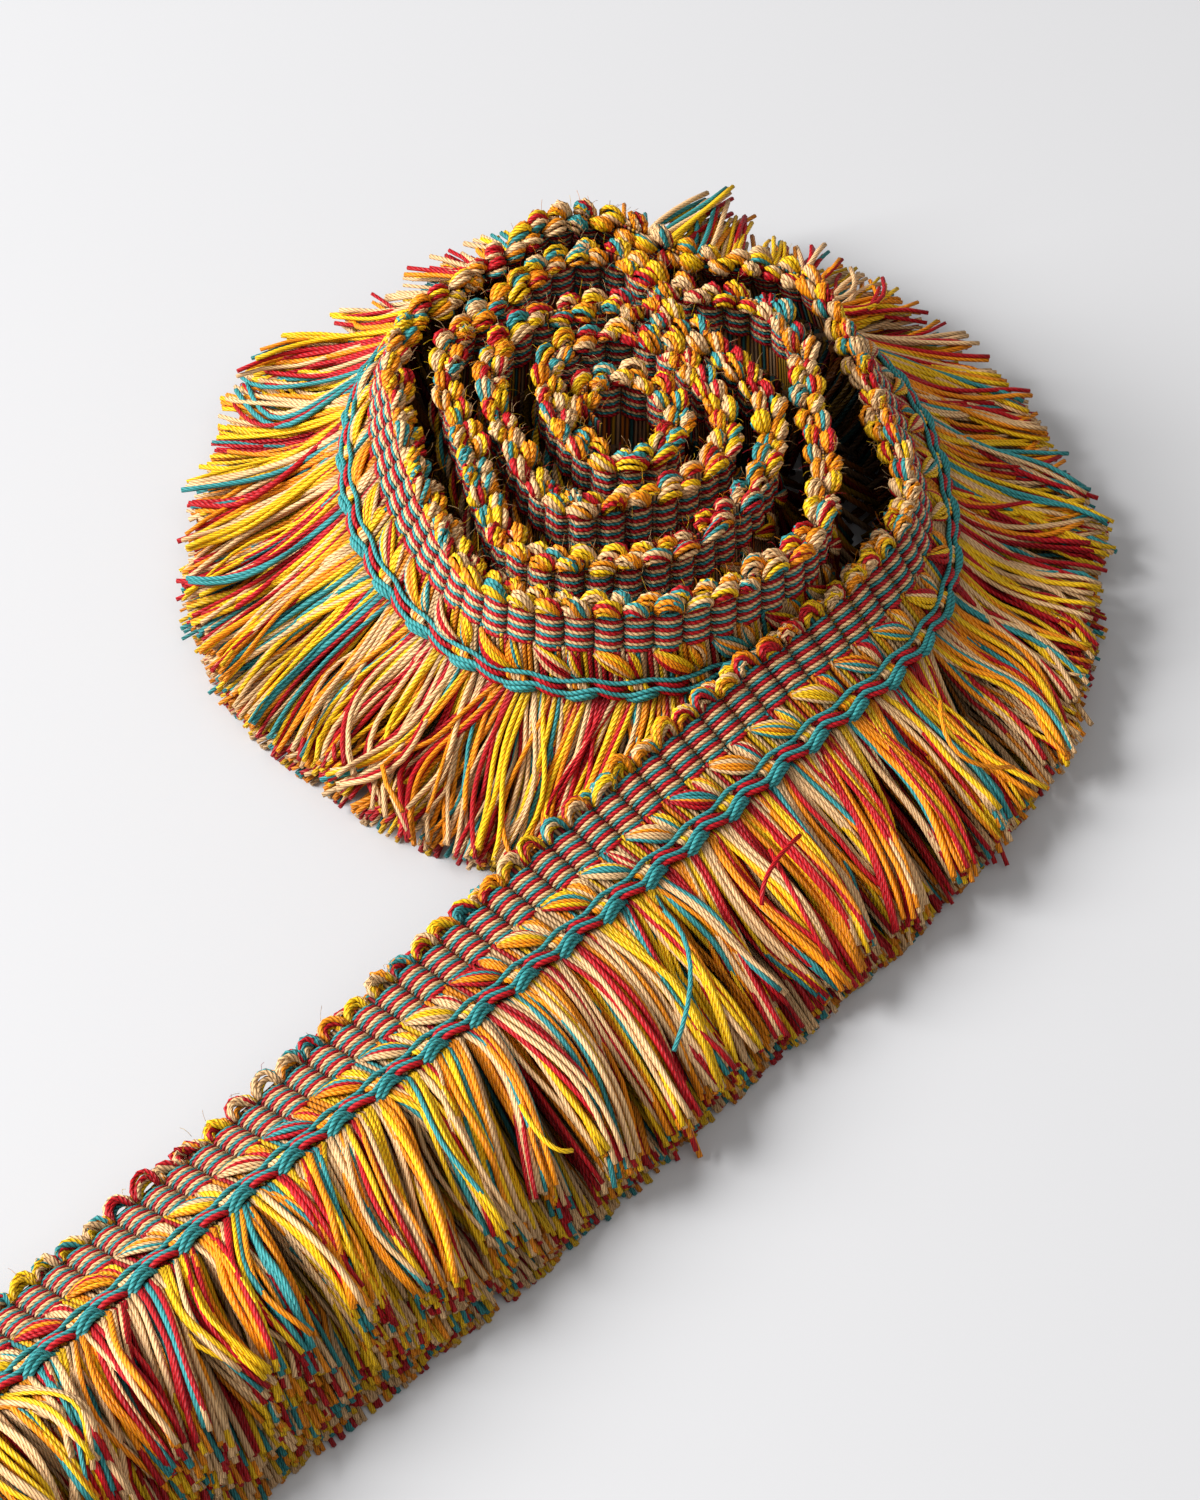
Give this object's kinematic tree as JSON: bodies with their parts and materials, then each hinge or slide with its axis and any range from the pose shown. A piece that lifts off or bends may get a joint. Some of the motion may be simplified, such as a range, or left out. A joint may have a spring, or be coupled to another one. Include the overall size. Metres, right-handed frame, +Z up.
{
  "type": "fringe trim",
  "caption": "Woven trim with a ribbed heading, scalloped picot edge and thick cut brush fringe, loosely wound into a rosette with one end laid out straight.",
  "frame": {"origin": "on the surface it rests on, under the middle of the rosette", "axes": "+Z up from the surface, +X along the straight free end towards the rosette, +Y away from the fringe of the free end"},
  "size_m": [0.224, 0.1222, 0.0291],
  "materials": {
    "heading_weave": "ribbed weave of crimson, teal and cream warps over many-coloured soft yarn, matt with a slight sheen",
    "fringe_yarn": "soft plied yarn in cream, yellow, orange, crimson and teal, cut ends, matt with a slight sheen"
  },
  "bodies": {
    "root": {"heading": "heading_weave", "fringe_tail_1": "fringe_yarn", "fringe_tail_2": "fringe_yarn", "fringe_roll_1": "fringe_yarn", "fringe_roll_2": "fringe_yarn", "fringe_roll_3": "fringe_yarn", "fringe_roll_4": "fringe_yarn", "fringe_roll_5": "fringe_yarn", "inner_fringe": "fringe_yarn"}
  },
  "joints": []
}
